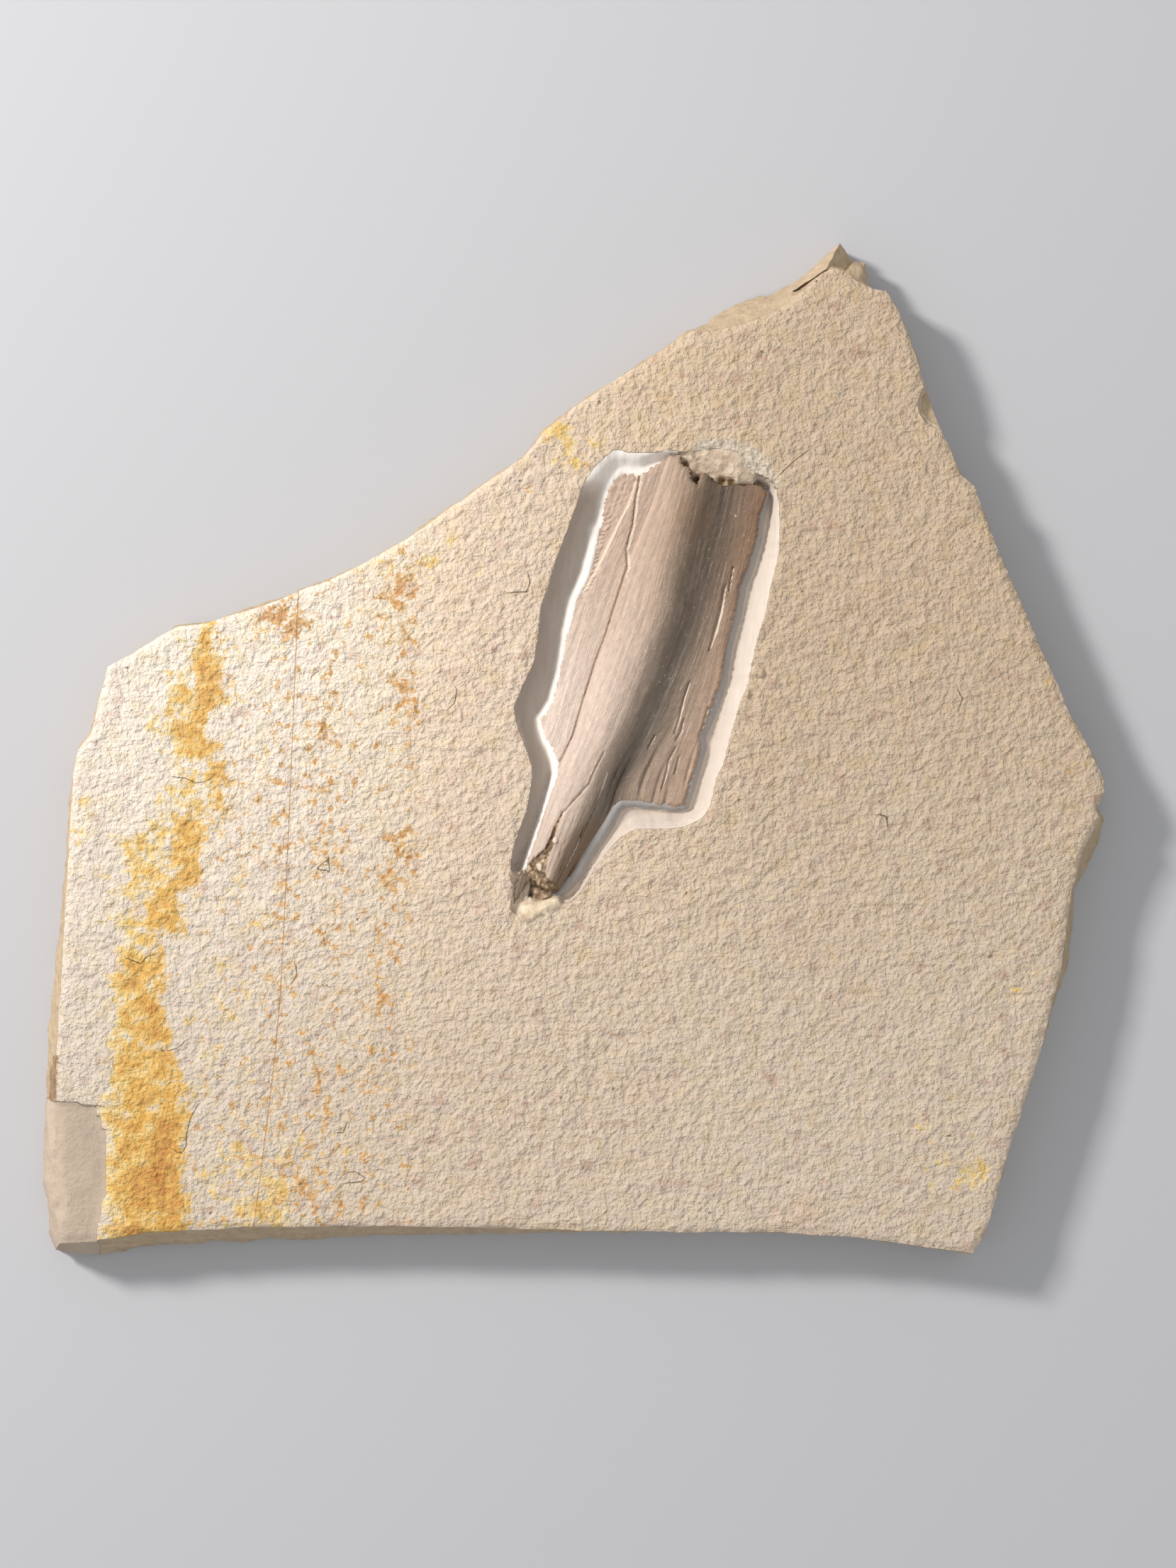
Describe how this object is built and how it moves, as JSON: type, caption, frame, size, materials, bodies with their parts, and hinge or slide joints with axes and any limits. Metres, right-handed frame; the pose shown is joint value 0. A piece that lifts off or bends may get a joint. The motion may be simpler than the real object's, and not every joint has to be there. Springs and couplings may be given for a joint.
{
  "type": "sea turtle shell fossil",
  "caption": "Fossil costal plate of a sea turtle, with its rib, lying in a dug-out pit in an irregular slab of fine limestone that rests on its flat back.",
  "frame": {"origin": "on the slab's flat back face, under the middle of its box", "axes": "+Z out of the face that shows the bone, +Y up that face towards its peak, +X to the right"},
  "size_m": [0.3052, 0.29, 0.0193],
  "materials": {
    "limestone": "matt",
    "fossil_bone": "matt"
  },
  "bodies": {
    "root": {"limestone_slab": "limestone", "costal_plate": "fossil_bone", "left_flange": "fossil_bone", "rib_splinter": "fossil_bone"}
  },
  "joints": []
}
